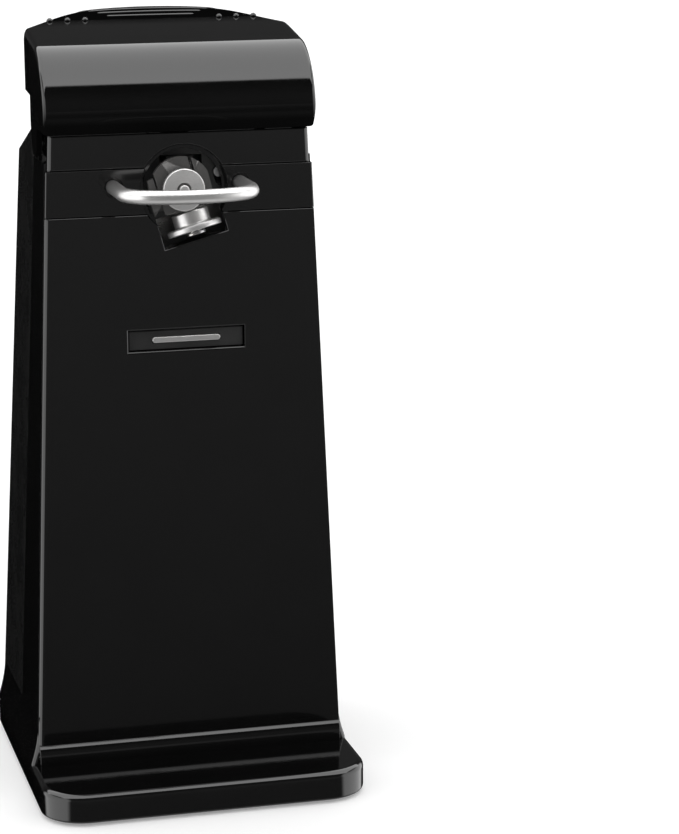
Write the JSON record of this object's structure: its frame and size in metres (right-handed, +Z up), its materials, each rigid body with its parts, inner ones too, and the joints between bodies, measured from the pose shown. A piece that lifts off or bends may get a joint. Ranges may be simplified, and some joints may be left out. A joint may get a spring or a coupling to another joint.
{
  "type": "electric can opener",
  "caption": "Upright kitchen can opener: tapered tower on a flat foot, press lever, motor-driven wheel and cutter, guide bar and lid magnet.",
  "frame": {"origin": "on the floor, under the middle of the foot", "axes": "+Z up, the front panel and the cutting head face -Y, +X to the right seen from the front"},
  "size_m": [0.096, 0.102, 0.2265],
  "materials": {
    "gloss_black": "moulded black ABS, glossy, with faint handling marks",
    "inner_black": "black moulded plastic with a fine matt texture",
    "foot_rubber": "soft black rubber",
    "satin_steel": "satin nickel-plated steel",
    "dark_steel": "sintered and pressed steel, darker, with machining marks",
    "zinc_steel": "zinc-plated pressed steel",
    "ferrite": "dark grey sintered ferrite",
    "red_plastic": "moulded red plastic",
    "nylon": "natural nylon, slightly translucent off-white",
    "brass": "machined brass and sintered bronze",
    "copper": "enamelled copper wire",
    "lamination": "stacked silicon-steel laminations, dark and oiled"
  },
  "bodies": {
    "housing": {"base": "gloss_black", "bottom_cover": "inner_black", "rubber_feet": "foot_rubber", "base_screws": "zinc_steel", "front_housing": "gloss_black", "rear_housing": "gloss_black", "housing_screws": "zinc_steel", "lower_front_panel": "gloss_black", "middle_band": "gloss_black", "upper_front_panel": "gloss_black", "guide_bar": "satin_steel", "guide_bar_clips": "zinc_steel", "magnet_holder": "inner_black", "lid_magnet": "ferrite", "magnet_pole_piece": "satin_steel", "lever_pivot_pins": "zinc_steel", "lever_spring": "satin_steel", "switch_body": "inner_black", "switch_terminals": "brass", "slide_guide_pins": "zinc_steel", "drive_bush": "brass", "second_gear_axle": "zinc_steel", "first_gear_axle": "zinc_steel", "front_gear_plate": "zinc_steel", "rear_gear_plate": "zinc_steel", "gear_plate_posts": "zinc_steel", "gear_plate_screws": "zinc_steel", "stator_core": "lamination", "coil_bobbin": "nylon", "coil_winding": "copper", "motor_bracket": "zinc_steel", "motor_bushes": "brass", "motor_screws": "zinc_steel", "motor_spacers": "zinc_steel"},
    "press_lever": {"lever": "gloss_black"},
    "plunger": {"switch_plunger": "red_plastic"},
    "cutter_carriage": {"cutter_slide": "inner_black", "cutter_bracket": "dark_steel", "cutter_axle": "zinc_steel"},
    "cutter": {"cutter_wheel": "satin_steel"},
    "drive": {"drive_wheel": "satin_steel", "drive_wheel_nut": "satin_steel", "drive_shaft": "satin_steel", "drive_gear": "dark_steel"},
    "second_cluster": {"second_gear": "nylon"},
    "first_cluster": {"first_gear": "nylon"},
    "motor_rotor": {"rotor": "lamination", "motor_shaft": "satin_steel", "motor_pinion": "brass", "cooling_fan": "inner_black"}
  },
  "joints": [
    {"name": "lever_press", "type": "hinge", "parent": "housing", "child": "press_lever", "pos_m": [0, -0.0061, 0.191], "axis": [-1, 0, 0], "range_deg": [0, 12], "stiffness_Nm_per_rad": 0.9, "springref_deg": -6.88, "deforming": ["lever_spring"]},
    {"name": "switch_press", "type": "slide", "parent": "housing", "child": "plunger", "axis": [0, 0, -1], "range_m": [0, 0.0023]},
    {"name": "cutter_lift", "type": "slide", "parent": "housing", "child": "cutter_carriage", "axis": [-0.2588, 0, 0.9659], "range_m": [0, 0.0023]},
    {"name": "cutter_spin", "type": "hinge", "parent": "cutter_carriage", "child": "cutter", "pos_m": [0.00422, -0.01923, 0.16635], "axis": [-0.2532, 0.2079, 0.9448], "continuous": true},
    {"name": "motor_spin", "type": "hinge", "parent": "housing", "child": "motor_rotor", "pos_m": [-0.00015, 0.01, 0.1139], "axis": [0, 1, 0], "continuous": true},
    {"name": "first_gear_spin", "type": "hinge", "parent": "housing", "child": "first_cluster", "pos_m": [-0.00015, 0.007, 0.1355], "axis": [0, 1, 0], "continuous": true},
    {"name": "second_gear_spin", "type": "hinge", "parent": "housing", "child": "second_cluster", "pos_m": [-0.00015, 0.003, 0.1625], "axis": [0, 1, 0], "continuous": true},
    {"name": "drive_spin", "type": "hinge", "parent": "housing", "child": "drive", "pos_m": [-0.00015, -0.01, 0.1785], "axis": [0, 1, 0], "continuous": true}
  ],
  "couplings": [
    {"joint": "lever_press", "follows": "cutter_lift", "rad_per_m": 91},
    {"joint": "switch_press", "follows": "cutter_lift", "ratio": 0.96},
    {"joint": "first_gear_spin", "follows": "motor_spin", "ratio": -0.2},
    {"joint": "second_gear_spin", "follows": "motor_spin", "ratio": 0.04},
    {"joint": "drive_spin", "follows": "motor_spin", "ratio": -0.024}
  ]
}
